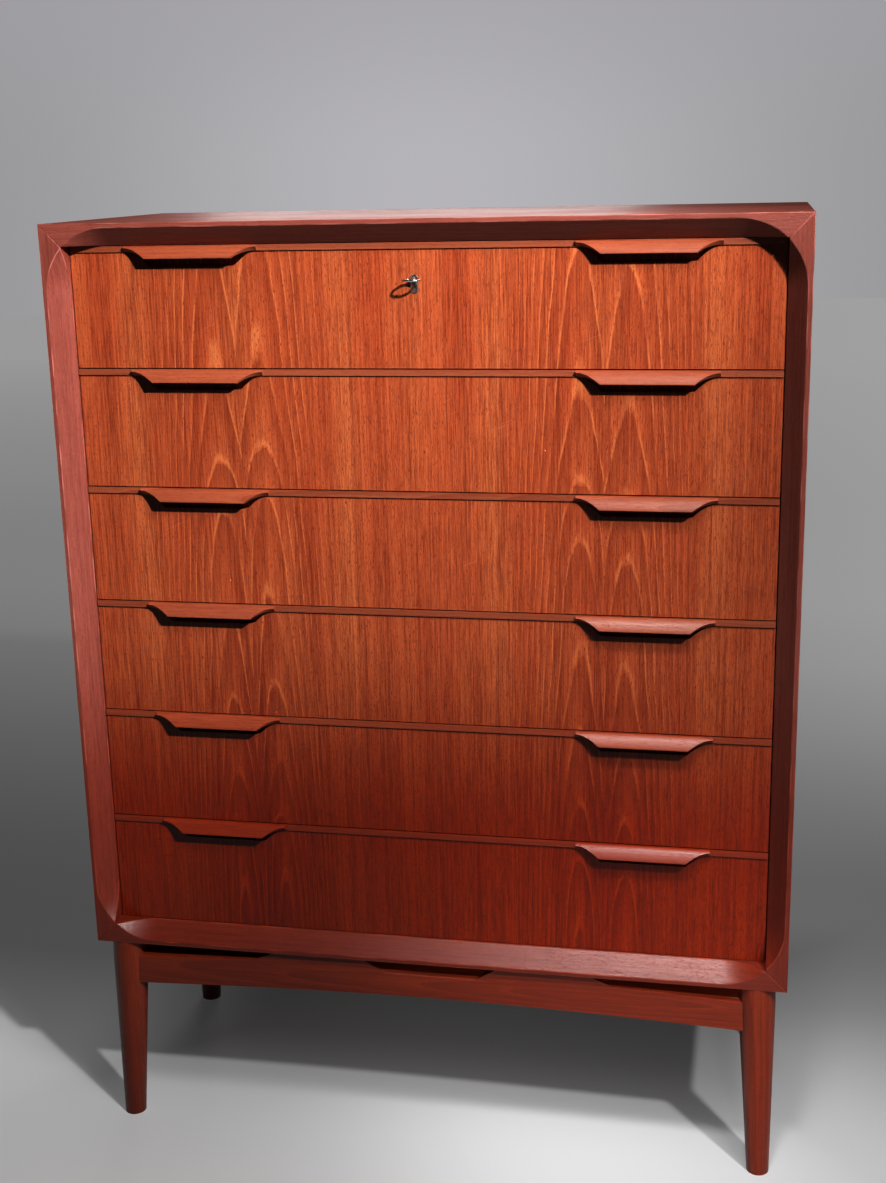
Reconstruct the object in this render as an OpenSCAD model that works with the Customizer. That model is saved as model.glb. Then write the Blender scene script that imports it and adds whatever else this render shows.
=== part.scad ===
// Tall chest of six equal drawers on four round tapered legs.
// The origin is on the floor under the middle of the case; +Z is up and the drawers open towards -Y.
// All sizes are in millimetres.

/* [Case] */
// Width of the case
case_w = 940; // [860:10:1000]
// Depth of the case
case_d = 430; // [400:10:480]
// Height of the case without its legs
case_h = 974; // [920:2:1040]
// Thickness of the case boards
board_t = 28; // [24:1:32]
// Thickness left at the flat front edge of the boards
edge_t = 5.5; // [4:0.5:8]
// Depth of the flared bevel inside the front edge
flare_d = 24; // [18:1:24]
// Radius of the flare's corners at the front
corner_r = 80; // [78:1:100]
// Thickness of the back panel
back_t = 6; // [4:1:9]

/* [Drawers] */
// Distance from the front edge of the case to the drawer faces
front_setback = 26; // [25:1:28]
// Thickness of the drawer fronts
front_t = 20; // [18:1:22]
// Gap between one front and the next
front_gap = 1.5; // [1:0.1:2]
// Gap between a drawer and the side of the case
side_gap = 1.2; // [0.8:0.1:1.6]
// Thickness of the drawer sides and backs
box_t = 15; // [14:1:17]
// Height of the drawer sides
box_h = 130; // [120:1:134]
// Thickness of the drawer bottoms
bottom_t = 5; // [4:0.5:6]
// How far a drawer pulls out
drawer_travel = 300; // [200:10:310]

/* [Lip handles] */
// Height of the solid strip along the top of a front
strip_h = 7.5; // [6:0.5:10]
// How far the strip stands proud of the face
strip_proud = 2; // [1:0.5:3]
// Distance of each handle's middle from the middle of the drawer
handle_x = 282; // [220:1:300]
// How far the lip reaches forward of the face
lip_reach = 16; // [12:1:18]
// How far the lip hangs below the top of the strip
lip_drop = 16; // [14:1:18]
// Half the length of a handle between the feet of its curved ends
grip_half = 55; // [45:1:65]
// Half the length of a handle over its curved ends
sweep_half = 86; // [75:1:95]
// Depth of the finger hollow below the top of the strip
hollow_drop = 26; // [22:1:30]
// How far the finger hollow goes into the front
hollow_d = 13; // [10:1:14]

/* [Lock] */
// Height of the keyhole below the top edge of the front
key_drop = 44; // [40:1:50]
// How far the bolt rises when the key is turned
bolt_travel = 8; // [4:1:8]

/* [Base] */
// Height of the legs
leg_h = 272; // [220:2:320]
// Diameter of a leg at the top
leg_top_dia = 48; // [40:1:50]
// Diameter of a leg at the floor
leg_foot_dia = 29; // [24:1:34]
// Distance from the middle of the case to the middle of a foot
foot_x = 440; // [400:1:450]
// Distance from the front of the case to the middle of a front foot
front_foot_y = 16; // [16:1:30]
// Distance from the front of the case to the middle of a rear foot
rear_foot_y = 345; // [320:1:400]
// How far a foot stands outside the top of its leg, both ways
leg_splay = 8.5; // [4:0.5:12]
// Thickness of the rails between the legs
rail_t = 26; // [22:1:28]
// Height of the rails' lower edge above the floor at the legs
rail_foot_z = 208; // [190:1:215]
// Rise of the arch under the front rail
rail_arch = 12; // [0:1:14]

/* [Hidden] */
$fn = 96;
drawer_count = 6;
tiny = 0.01;

// Derived case sizes
front_y = -case_d / 2;
back_y = case_d / 2;
case_z = leg_h;
top_z = case_z + case_h;
inner_w = case_w - 2 * board_t;
inner_h = case_h - 2 * board_t;
flare_w = board_t - edge_t;
back_rebate_w = 10;
back_inset = 2;
back_rebate_d = back_t + back_inset;
spline_t = 4;
spline_w = 18;
spline_front = 60;

// Derived drawer sizes
pitch = inner_h / drawer_count;
front_h = pitch - front_gap;
front_w = inner_w - 2 * side_gap;
face_y = front_y + front_setback;
front_back_y = face_y + front_t;
back_clear = 12;
box_back_y = back_y - back_rebate_d - back_clear;
box_z = 7;
tail_len = 12;
tail_count = 4;
tail_flare = 2.5;
bottom_up = 9;
bottom_groove = 6;
back_in = 10;
back_housing = 5;
back_low = 8;
lip_root = 8;
lip_nose = 2.2;
lip_shoulder = 1.2;
sweep_top = 12;

// Derived runner sizes
runner_t = 9.4;
runner_h = 18;
runner_z = 62;
runner_len = 330;
runner_slack = 0.5;
runner_front_y = front_back_y + 16;
runner_screw_in = 40;
runner_screw_y = [runner_front_y + runner_screw_in, runner_front_y + runner_len - runner_screw_in];

// Fasteners
screw_shank_r = 1.75;
screw_head_r = 3.6;
screw_head_h = 2.4;
screw_slack = 0.05;

// Lock
lock_w = 66;
lock_d = 12;
lock_wall = 1.5;
lock_foot = 18;
flange_t = 2;
shaft_r = 2.5;
shaft_slack = 0.05;
bolt_w = 28;
bolt_d = 7;
bolt_slack = 0.3;
key_z = front_h - key_drop;
ring_r = 5.7;
ring_foot_r = 5.1;
ring_waist = 7.6;
ring_len = 12.2;
ring_wall = 1.4;
ring_depth = 3;
bow_half = 2.7;
bow_r = 8;
bow_wire_r = 1.5;

// Base
leg_top_r = leg_top_dia / 2;
leg_foot_r = leg_foot_dia / 2;
leg_straight = 30;
leg_axis_in = 16;
pad_start = 95;
pad_end = 211;
scoop_mid_drop = 21;
scoop_pad_drop = 15;
scoop_end_drop = 27;
scoop_run = 34;
station_t = 0.2;
tenon_t = 12;
tenon_len = 12;
tenon_in = 5;
side_tenon_in = 7;
tenon_shoulder = 8;
joint_slack = 0.15;

// Colours
TEAK = "#9a4a2a";
TEAK_DARK = "#7d3320";
TEAK_LIP = "#b4583a";
BEECH = "#d8b88a";
PLY = "#b98d5e";
NICKEL = "#c8c8c4";
STEEL = "#8d9094";
BRASS = "#b5924c";

function drawer_z(k) = case_z + board_t + (drawer_count - k) * pitch + front_gap / 2;
function part_names(part) = [for (k = [1:drawer_count]) str("drawer_", k, "_", part)];

// ---- Shared shapes -------------------------------------------------------

// Extrudes an outline drawn in X and Z along Y, from y0 over a depth
module along_y(y0, depth) {
    translate([0, y0 + depth, 0]) rotate([90, 0, 0]) linear_extrude(depth) children();
}

// Extrudes an outline drawn in Y and Z along X, from x0 over a length
module along_x(x0, length) {
    translate([x0, 0, 0]) rotate([90, 0, 90]) linear_extrude(length) children();
}

// A box between two corners
module span(low, high) {
    translate(low) cube(high - low);
}

// A countersunk wood screw whose head is flush with z = 0 and whose shank points down
module wood_screw(length, slack = 0) {
    cylinder_h = length - screw_head_h;
    translate([0, 0, -length]) cylinder(r = screw_shank_r + slack, h = cylinder_h + tiny);
    translate([0, 0, -screw_head_h])
        cylinder(r1 = screw_shank_r + slack, r2 = screw_head_r + slack, h = screw_head_h);
}

// ---- Case ----------------------------------------------------------------

// One mitred board of the case: side 0 is the top, 1 the left, 2 the bottom, 3 the right
module mitred_board(side) {
    w = case_w / 2;
    outer = [[-w, top_z], [w, top_z], [w, case_z], [-w, case_z]];
    inner = [
        [-w + board_t, top_z - board_t], [w - board_t, top_z - board_t],
        [w - board_t, case_z + board_t], [-w + board_t, case_z + board_t]
    ];
    first = (side == 0) ? 0 : (side == 1) ? 3 : (side == 2) ? 2 : 1;
    next = (first + 1) % 4;
    difference() {
        along_y(front_y, case_d) polygon([outer[first], outer[next], inner[next], inner[first]]);
        flare();
        back_rebate();
        splines();
        back_screw_set(screw_slack);
    }
}

// Space removed inside the front edge: four bevels that meet in round corners
module flare() {
    cx = case_w / 2 - edge_t - corner_r;
    cz = case_h / 2 - edge_t - corner_r;
    mid_z = case_z + case_h / 2;
    reach_x = case_w / 2 - board_t;
    reach_z = case_h / 2 - board_t;
    for (s = [-1, 1]) {
        translate([0, 0, mid_z]) along_x(-cx, 2 * cx) polygon([
            [front_y - tiny, s * reach_z],
            [front_y - tiny, s * (reach_z + flare_w)],
            [front_y, s * (reach_z + flare_w)],
            [front_y + flare_d, s * reach_z]
        ]);
        translate([0, 0, mid_z - cz]) linear_extrude(2 * cz) polygon([
            [s * reach_x, front_y - tiny],
            [s * (reach_x + flare_w), front_y - tiny],
            [s * (reach_x + flare_w), front_y],
            [s * reach_x, front_y + flare_d]
        ]);
        for (t = [-1, 1]) translate([s * cx, front_y, mid_z + t * cz]) rotate([-90, 0, 0])
            cylinder(r1 = corner_r, r2 = corner_r - flare_w, h = flare_d);
    }
}

// Rebate round the back of the case for the panel
module back_rebate() {
    span(
        [-inner_w / 2 - back_rebate_w, back_y - back_rebate_d, case_z + board_t - back_rebate_w],
        [inner_w / 2 + back_rebate_w, back_y + tiny, top_z - board_t + back_rebate_w]
    );
}

// Loose tongues that cross the four mitres
module splines() {
    half = board_t / 2;
    for (s = [-1, 1]) for (t = [-1, 1]) {
        x = s * (case_w / 2 - half);
        z = case_z + case_h / 2 + t * (case_h / 2 - half);
        translate([x, 0, z]) rotate([0, s * t * 45, 0])
            span([-spline_w / 2, front_y + spline_front, -spline_t / 2],
                 [spline_w / 2, back_y - 2 * back_rebate_d, spline_t / 2]);
    }
}

module corner_splines() {
    color(BEECH) splines();
}

module bolt_mortise() {
    z = top_z - board_t;
    span([-bolt_w / 2 - 3, lock_mid_y() - bolt_d / 2 - 2, z - tiny],
         [bolt_w / 2 + 3, lock_mid_y() + bolt_d / 2 + 2, z + bolt_travel + 3]);
}

module case_top() {
    color(TEAK) difference() {
        mitred_board(0);
        bolt_mortise();
    }
}

module case_bottom() {
    color(TEAK) difference() {
        mitred_board(2);
        base_screw_set(screw_slack);
    }
}

module case_left_side() {
    color(TEAK) difference() {
        mitred_board(1);
        runner_screw_set(-1, screw_slack);
    }
}

module case_right_side() {
    color(TEAK) difference() {
        mitred_board(3);
        runner_screw_set(1, screw_slack);
    }
}

// Places of the screws round the back panel
function back_screw_places() =
    let (x = inner_w / 2 + back_rebate_w / 2, z0 = case_z + board_t - back_rebate_w / 2,
         z1 = top_z - board_t + back_rebate_w / 2)
    concat(
        [for (s = [-1, 1]) for (i = [0:4]) [s * x, z0 + 12 + (z1 - z0 - 24) * i / 4]],
        [for (z = [z0, z1]) for (i = [-1:1]) [i * inner_w / 4, z]]
    );

module back_screw_set(slack = 0) {
    length = 16;
    for (p = back_screw_places()) translate([p[0], back_y - back_inset, p[1]])
        rotate([-90, 0, 0]) wood_screw(length, slack);
}

module back_screws() {
    color(BRASS) back_screw_set();
}

module back_panel() {
    slack = 0.5;
    color(PLY) difference() {
        span(
            [-inner_w / 2 - back_rebate_w + slack, back_y - back_rebate_d,
             case_z + board_t - back_rebate_w + slack],
            [inner_w / 2 + back_rebate_w - slack, back_y - back_inset,
             top_z - board_t + back_rebate_w - slack]
        );
        back_screw_set(screw_slack);
    }
}

// ---- Runners -------------------------------------------------------------

// Screws of the six runners on one side, s = -1 left or 1 right
module runner_screw_set(s, slack = 0) {
    length = 24;
    sink = 0.4;
    for (k = [1:drawer_count]) for (y = runner_screw_y)
        translate([s * (inner_w / 2 - runner_t + sink), y, drawer_z(k) + runner_z + runner_h / 2])
            rotate([0, -s * 90, 0]) wood_screw(length, slack);
}

module runners(s) {
    x = inner_w / 2;
    difference() {
        for (k = [1:drawer_count]) {
            z = drawer_z(k) + runner_z;
            span([s > 0 ? x - runner_t : -x, runner_front_y, z],
                 [s > 0 ? x : -x + runner_t, runner_front_y + runner_len, z + runner_h]);
        }
        runner_screw_set(s, screw_slack);
        // clears the screw heads, which are sunk below the face
        for (k = [1:drawer_count])
            for (y = runner_screw_y)
                translate([s * (x - runner_t), y, drawer_z(k) + runner_z + runner_h / 2])
                    rotate([0, 90, 0]) cylinder(r = screw_head_r + screw_slack, h = 0.8, center = true);
    }
}

module left_runners() {
    color(BEECH) runners(-1);
}

module right_runners() {
    color(BEECH) runners(1);
}

module runner_screws() {
    color(STEEL) for (s = [-1, 1]) runner_screw_set(s);
}

// ---- Drawers -------------------------------------------------------------

// Outline in X and Z of a handle or its hollow: flat between the grips, then swept up in coves
module sweep_outline(depth, rise) {
    steps = 20;
    sweep = sweep_half - grip_half;
    ends = [for (i = [0:steps]) [
        grip_half + sweep * i / steps, -depth + (depth - rise) * sin(90 * i / steps)
    ]];
    polygon(concat(
        ends, [[sweep_half, sweep_top], [-sweep_half, sweep_top]],
        [for (i = [steps:-1:0]) [-ends[i][0], ends[i][1]]]
    ));
}

// A point at t on the smooth curve from p[0] to p[3], drawn towards p[1] and p[2]
function curve(p, t) = pow(1 - t, 3) * p[0] + 3 * t * pow(1 - t, 2) * p[1]
    + 3 * t * t * (1 - t) * p[2] + pow(t, 3) * p[3];

// Section of a lip in Y and Z, with the face at y = 0 and the top of the strip at z = 0
module lip_section() {
    steps = 14;
    nose = [-lip_reach, -lip_drop + lip_nose / 2];
    heel = [-lip_reach + lip_nose, -lip_drop];
    top = [-strip_proud - lip_shoulder, 0];
    foot = [-strip_proud, -strip_h];
    front = [top, top + [-3.5, -0.3], nose + [1.6, 4.5], nose];
    round_nose = [nose, nose + [-0.3, -0.9], heel + [-1.2, 0], heel];
    under = [heel, heel + [1.2, 3.8], foot + [-4, -0.4], foot];
    polygon(concat(
        [[lip_root, -strip_h], [lip_root, 0]],
        [for (i = [0:steps - 1]) curve(front, i / steps)],
        [for (i = [0:5]) curve(round_nose, i / 6)],
        [for (i = [0:steps]) curve(under, i / steps)]
    ));
}

// A lip: its section, trimmed at both ends by coves cut square to its sloping face
module lip_handle() {
    nose = (lip_reach + lip_drop) * sqrt(0.5);
    foot = (strip_proud + strip_h) * sqrt(0.5);
    intersection() {
        along_x(-sweep_half - 1, 2 * sweep_half + 2) lip_section();
        rotate([-45, 0, 0]) along_y(-2 * lip_reach, 4 * lip_reach) sweep_outline(nose, foot);
    }
}

// Dovetail tails of one drawer side, in Y and Z, from the back of the front board forwards
module tail_outline() {
    step = box_h / tail_count;
    half = step * 0.3;
    for (i = [0:tail_count - 1]) {
        z = box_z + step * (i + 0.5);
        polygon([
            [front_back_y + tiny, z - half], [front_back_y - tail_len, z - half - tail_flare],
            [front_back_y - tail_len, z + half + tail_flare], [front_back_y + tiny, z + half]
        ]);
    }
}

module side_tails(s) {
    x = front_w / 2;
    along_x(s > 0 ? x - box_t : -x, box_t) tail_outline();
}

module drawer_front(k) {
    color(TEAK) translate([0, 0, drawer_z(k)]) difference() {
        span([-front_w / 2, face_y, 0], [front_w / 2, front_back_y, front_h - strip_h]);
        for (s = [-1, 1]) {
            translate([s * handle_x, 0, front_h])
                along_y(face_y - 1, hollow_d + 1) sweep_outline(hollow_drop, strip_h);
            side_tails(s);
        }
        bottom_slot();
        if (k == 1) lock_space();
    }
}

module drawer_lip(k) {
    color(TEAK_LIP) translate([0, 0, drawer_z(k)]) difference() {
        union() {
            span([-front_w / 2, face_y - strip_proud, front_h - strip_h],
                 [front_w / 2, front_back_y, front_h]);
            for (s = [-1, 1]) translate([s * handle_x, face_y, front_h]) lip_handle();
        }
        if (k == 1) lock_space();
    }
}

// Groove for the bottom panel, cut in the front and the sides
module bottom_slot() {
    x = front_w / 2 - box_t + bottom_groove;
    z = box_z + bottom_up;
    span([-x, front_back_y - bottom_groove, z], [x, box_back_y + tiny, z + bottom_t]);
}

module drawer_side(k, s) {
    x = front_w / 2;
    groove = runner_t - side_gap + runner_slack;
    color(BEECH) translate([0, 0, drawer_z(k)]) difference() {
        union() {
            span([s > 0 ? x - box_t : -x, front_back_y, box_z],
                 [s > 0 ? x : -x + box_t, box_back_y, box_z + box_h]);
            side_tails(s);
        }
        span([s > 0 ? x - groove : -x - 1, runner_front_y - 1, runner_z - runner_slack],
             [s > 0 ? x + 1 : -x + groove, box_back_y + tiny, runner_z + runner_h + runner_slack]);
        bottom_slot();
        drawer_back_blank();
    }
}

// The drawer back, let into a housing in each side
module drawer_back_blank() {
    x = front_w / 2 - box_t + back_housing;
    span([-x, box_back_y - back_in - box_t, box_z + bottom_up + bottom_t],
         [x, box_back_y - back_in, box_z + box_h - back_low]);
}

module drawer_back(k) {
    color(BEECH) translate([0, 0, drawer_z(k)]) drawer_back_blank();
}

module drawer_bottom(k) {
    slack = 0.3;
    x = front_w / 2 - box_t + bottom_groove - slack;
    z = box_z + bottom_up;
    color(PLY) translate([0, 0, drawer_z(k)])
        span([-x, front_back_y - bottom_groove + slack, z], [x, box_back_y - 4, z + bottom_t]);
}

// ---- Lock ----------------------------------------------------------------

function lock_mid_y() = front_back_y - lock_d / 2;

// The keyhole ring's outline, grown by a margin and extruded along Y; z = 0 is the key's axis
module keyhole_block(grow, y0, length) {
    half = ring_waist / 2 + grow;
    foot = ring_foot_r + grow - 0.1;
    along_y(y0, length) circle(r = ring_r + grow);
    along_y(y0, length) translate([0, -ring_len]) circle(r = ring_foot_r + grow);
    along_y(y0, length) polygon([[-half, 0], [half, 0], [foot, -ring_len], [-foot, -ring_len]]);
}

// Space for the lock case, its flange, the keyhole and the ring in the drawer front
module lock_space() {
    span([-lock_w / 2, front_back_y - lock_d, key_z - lock_foot],
         [lock_w / 2, front_back_y + tiny, front_h + tiny]);
    translate([0, 0, key_z]) {
        keyhole_block(0, face_y - 1, ring_depth + 1);
        keyhole_block(-ring_wall, face_y + ring_depth - tiny, front_t);
    }
}

module keyhole_ring() {
    proud = 0.3;
    color(NICKEL) translate([0, 0, drawer_z(1) + key_z]) difference() {
        union() keyhole_block(0, face_y - proud, ring_depth + proud);
        union() keyhole_block(-ring_wall, face_y - 1, ring_depth + 2);
    }
}

module lock_case() {
    foot = key_z - lock_foot;
    y0 = front_back_y - lock_d;
    slot = bolt_slack;
    color(STEEL) translate([0, 0, drawer_z(1)]) difference() {
        span([-lock_w / 2, y0, foot], [lock_w / 2, front_back_y, front_h]);
        span([-lock_w / 2 + lock_wall, y0 + lock_wall, foot + lock_wall],
             [lock_w / 2 - lock_wall, front_back_y - lock_wall, front_h - flange_t]);
        span([-bolt_w / 2 - slot, lock_mid_y() - bolt_d / 2 - slot, front_h - flange_t - 1],
             [bolt_w / 2 + slot, lock_mid_y() + bolt_d / 2 + slot, front_h + 1]);
        translate([0, y0 - 1, key_z]) rotate([-90, 0, 0])
            cylinder(r = shaft_r + shaft_slack, h = lock_d + 2);
        span([-2, y0 - 1, key_z - 10], [2, y0 + lock_wall + tiny, key_z]);
    }
}

// The bolt: a head that rises through the flange, and a plate with a window for the key's bit
module lock_bolt() {
    plate_y = lock_mid_y() + 1;
    plate_t = 2.5;
    plate_half = 19;
    window_half = 11;
    foot = key_z - 16;
    shoulder = front_h - flange_t - bolt_travel - 3;
    color(BRASS) translate([0, 0, drawer_z(1)]) difference() {
        union() {
            span([-plate_half, plate_y, foot], [plate_half, plate_y + plate_t, shoulder]);
            span([-bolt_w / 2, lock_mid_y() - bolt_d / 2, shoulder - 12],
                 [bolt_w / 2, lock_mid_y() + bolt_d / 2, front_h - 0.5]);
        }
        span([-window_half, plate_y - 1, key_z - 13],
             [window_half, plate_y + plate_t + 1, key_z + 4]);
    }
}

// The key: an oval wire bow, a collar, a round shank and a bit that hangs down
module key() {
    bow_outer = bow_r + bow_wire_r;
    bow_y = front_y + 0.5 + bow_outer;
    collar_y = bow_y + bow_r;
    shank_end = front_back_y;
    color(NICKEL) translate([0, 0, drawer_z(1) + key_z]) {
        for (s = [-1, 1]) translate([s * bow_half, bow_y, 0])
            rotate([0, 0, s > 0 ? -90 : 90]) rotate_extrude(angle = 180)
                translate([bow_r, 0]) circle(r = bow_wire_r);
        for (t = [-1, 1]) translate([-bow_half, bow_y + t * bow_r, 0]) rotate([0, 90, 0])
            cylinder(r = bow_wire_r, h = 2 * bow_half);
        translate([0, collar_y, 0]) rotate([-90, 0, 0]) {
            cylinder(r = shaft_r, h = shank_end - collar_y);
            translate([0, 0, 1]) cylinder(r = shaft_r + 1, h = 2.5);
        }
        span([-1.4, front_back_y - lock_d + lock_wall + 0.4, -9],
             [1.4, front_back_y - lock_wall - 0.4, 0]);
    }
}

// ---- Base ----------------------------------------------------------------

// Middle of a leg at height z; s = -1 left or 1 right, back = false or true
function leg_x(s, z) = s * (foot_x - leg_splay * z / leg_h);
function leg_y(back, z) = back ? front_y + rear_foot_y - leg_splay * z / leg_h
                               : front_y + front_foot_y + leg_splay * z / leg_h;

// A round leg, straight near the top and tapered below, leaning outwards both ways
module leg_solid(s, back, grow = 0) {
    lean = atan(leg_splay / leg_h);
    over = 20;
    intersection() {
        translate([leg_x(s, leg_h), leg_y(back, leg_h), leg_h])
            rotate([back ? lean : -lean, -s * lean, 0]) {
                translate([0, 0, -leg_straight]) cylinder(r = leg_top_r + grow, h = leg_straight + over);
                translate([0, 0, -leg_h - over]) cylinder(
                    r1 = leg_foot_r - (leg_top_r - leg_foot_r) * over / leg_h + grow,
                    r2 = leg_top_r + grow, h = leg_h + over - leg_straight
                );
            }
        span([s * foot_x - 100, leg_y(back, 0) - 100, 0],
             [s * foot_x + 100, leg_y(back, 0) + 100, leg_h]);
    }
}

// Rail centre lines pass through the legs a little behind their outer faces
rail_mid_z = (rail_foot_z + leg_h) / 2;
rail_front_y = leg_y(false, rail_mid_z) - leg_axis_in;
rail_rear_y = leg_y(true, rail_mid_z) + leg_axis_in;
rail_side_x = leg_x(1, rail_mid_z) + leg_axis_in;
tenon_z0 = rail_foot_z + tenon_shoulder;
tenon_z1 = leg_h - tenon_shoulder;

// Tenons of the front and back rails, each a box reaching into both legs
module long_tenons(back) {
    y = back ? rail_rear_y - rail_t + tenon_in : rail_front_y + rail_t - tenon_in - tenon_t;
    x = leg_x(1, rail_mid_z) - tenon_len + tenon_shoulder;
    span([-x, y, tenon_z0], [x, y + tenon_t, tenon_z1]);
}

// Tenons of the side rails
module side_tenons(s) {
    x = s > 0 ? rail_side_x - side_tenon_in - tenon_t : -rail_side_x + side_tenon_in;
    y0 = leg_y(false, rail_mid_z) + tenon_len;
    y1 = leg_y(true, rail_mid_z) - tenon_len;
    span([x, y0, tenon_z0], [x + tenon_t, y1, tenon_z1]);
}

module leg(s, back) {
    color(TEAK_DARK) difference() {
        leg_solid(s, back);
        long_tenons(back);
        side_tenons(s);
    }
}

// Elevation of a long rail in X and Z, arched below
module rail_outline(half) {
    steps = 24;
    polygon(concat(
        [[-half, leg_h], [-half, rail_foot_z]],
        [for (i = [1:steps - 1]) [
            -half + 2 * half * i / steps, rail_foot_z + rail_arch * sin(180 * i / steps)
        ]],
        [[half, rail_foot_z], [half, leg_h]]
    ));
}

// A bevel along the rail's top outer edge, hulled through stations of a place in X and a depth
module scoop(stations, y) {
    hull() for (p = stations) along_x(p[0] - station_t / 2, station_t) polygon([
        [y - 1, leg_h - p[1]], [y + 20, leg_h - min(p[1], 6)], [y + rail_t + 1, leg_h - min(p[1], 4)],
        [y + rail_t + 1, leg_h + 1], [y - 1, leg_h + 1]
    ]);
}

// The front rail's three bevels, which leave two resting pads between them
module rail_scoops(y) {
    end = leg_x(1, rail_mid_z) + leg_top_r;
    scoop([
        [-pad_start, 0], [scoop_run - pad_start, scoop_mid_drop],
        [pad_start - scoop_run, scoop_mid_drop], [pad_start, 0]
    ], y);
    for (s = [-1, 1]) scoop([
        [s * pad_end, 0], [s * (pad_end + scoop_run), scoop_pad_drop], [s * end, scoop_end_drop]
    ], y);
}

module long_rail(back) {
    y = back ? rail_rear_y - rail_t : rail_front_y;
    half = leg_x(1, rail_mid_z);
    union() {
        difference() {
            along_y(y, rail_t) rail_outline(half);
            for (s = [-1, 1]) leg_solid(s, back, joint_slack);
            if (!back) rail_scoops(y);
            base_screw_set(screw_slack);
        }
        for (s = [-1, 1]) intersection() {
            long_tenons(back);
            leg_solid(s, back, joint_slack + tiny);
        }
    }
}

module side_rail(s) {
    x = s > 0 ? rail_side_x - rail_t : -rail_side_x;
    y0 = leg_y(false, rail_mid_z);
    y1 = leg_y(true, rail_mid_z);
    union() {
        difference() {
            span([x, y0, rail_foot_z], [x + rail_t, y1, leg_h]);
            for (back = [false, true]) leg_solid(s, back, joint_slack);
            base_screw_set(screw_slack);
        }
        for (back = [false, true]) intersection() {
            side_tenons(s);
            leg_solid(s, back, joint_slack + tiny);
        }
    }
}

module front_rail() {
    color(TEAK_DARK) long_rail(false);
}

module back_rail() {
    color(TEAK_DARK) long_rail(true);
}

module left_rail() {
    color(TEAK_DARK) side_rail(-1);
}

module right_rail() {
    color(TEAK_DARK) side_rail(1);
}

// Screws that come up through the rails into the case bottom, in counterbores
module base_screw_set(slack = 0) {
    length = 58;
    bore_r = 5;
    head_z = leg_h - 42;
    pad_x = (pad_start + pad_end) / 2;
    long_y = [rail_front_y + rail_t / 2 + 4, rail_rear_y - rail_t / 2];
    side_x = rail_side_x - rail_t / 2;
    side_y = (leg_y(false, 0) + leg_y(true, 0)) / 2;
    places = concat(
        [for (y = long_y) for (s = [-1, 1]) [s * pad_x, y]],
        [for (s = [-1, 1]) [s * side_x, side_y]]
    );
    for (p = places) translate([p[0], p[1], head_z]) {
        rotate([180, 0, 0]) wood_screw(length, slack);
        if (slack > 0) translate([0, 0, -leg_h]) cylinder(r = bore_r, h = leg_h);
    }
}

module base_screws() {
    color(STEEL) base_screw_set();
}

// ---- Nodes ---------------------------------------------------------------

case_top();
case_bottom();
case_left_side();
case_right_side();
corner_splines();
back_panel();
back_screws();
left_runners();
right_runners();
runner_screws();
for (k = [1:drawer_count]) {
    name = str("drawer_", k);
    drawer_front(k);
    drawer_lip(k);
    drawer_side(k, -1);
    drawer_side(k, 1);
    drawer_back(k);
    drawer_bottom(k);
}
lock_case();
lock_bolt();
keyhole_ring();
key();
front_rail();
back_rail();
left_rail();
right_rail();
leg(-1, false);  // front_left_leg
leg(1, false);  // front_right_leg
leg(-1, true);  // back_left_leg
leg(1, true);  // back_right_leg
base_screws();
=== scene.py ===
"""A tall teak chest of six drawers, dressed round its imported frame.

The frame gives every joint, size and place. This script replaces the plain solids whose shape needs a
softer hand, gives every piece its own finish, and sets up a plain studio.
"""

import logging
import math
from dataclasses import dataclass
from enum import Enum
from typing import Callable, Sequence

import bmesh
import bpy
from bpy.types import Light, Material, Node, NodeSocket, NodeTree, Object
from mathutils import Matrix, Vector


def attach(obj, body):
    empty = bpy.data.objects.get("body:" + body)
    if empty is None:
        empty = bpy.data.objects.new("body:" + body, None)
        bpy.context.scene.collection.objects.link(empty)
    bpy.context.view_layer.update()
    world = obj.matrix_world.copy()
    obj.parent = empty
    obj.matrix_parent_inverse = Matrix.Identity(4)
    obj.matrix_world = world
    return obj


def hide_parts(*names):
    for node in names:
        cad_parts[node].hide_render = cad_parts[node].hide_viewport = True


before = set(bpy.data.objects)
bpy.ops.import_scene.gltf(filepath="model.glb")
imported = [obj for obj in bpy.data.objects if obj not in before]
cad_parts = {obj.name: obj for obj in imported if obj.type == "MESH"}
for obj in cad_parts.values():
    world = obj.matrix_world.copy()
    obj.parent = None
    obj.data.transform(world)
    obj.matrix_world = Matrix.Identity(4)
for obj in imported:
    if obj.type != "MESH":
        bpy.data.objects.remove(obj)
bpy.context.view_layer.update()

LOG = logging.getLogger("chest")
DRAWERS = 6

Colour = tuple[float, float, float]
Place = tuple[float, float, float]
Profile = tuple[tuple[float, float], ...]


# ---- Shader wiring -------------------------------------------------------


class Grain(Enum):
    """The row axis that a piece's grain runs along."""

    ALONG_X = (0.0, math.radians(90), 0.0)
    ALONG_Y = (math.radians(90), 0.0, 0.0)
    UPRIGHT = (0.0, 0.0, 0.0)


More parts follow.
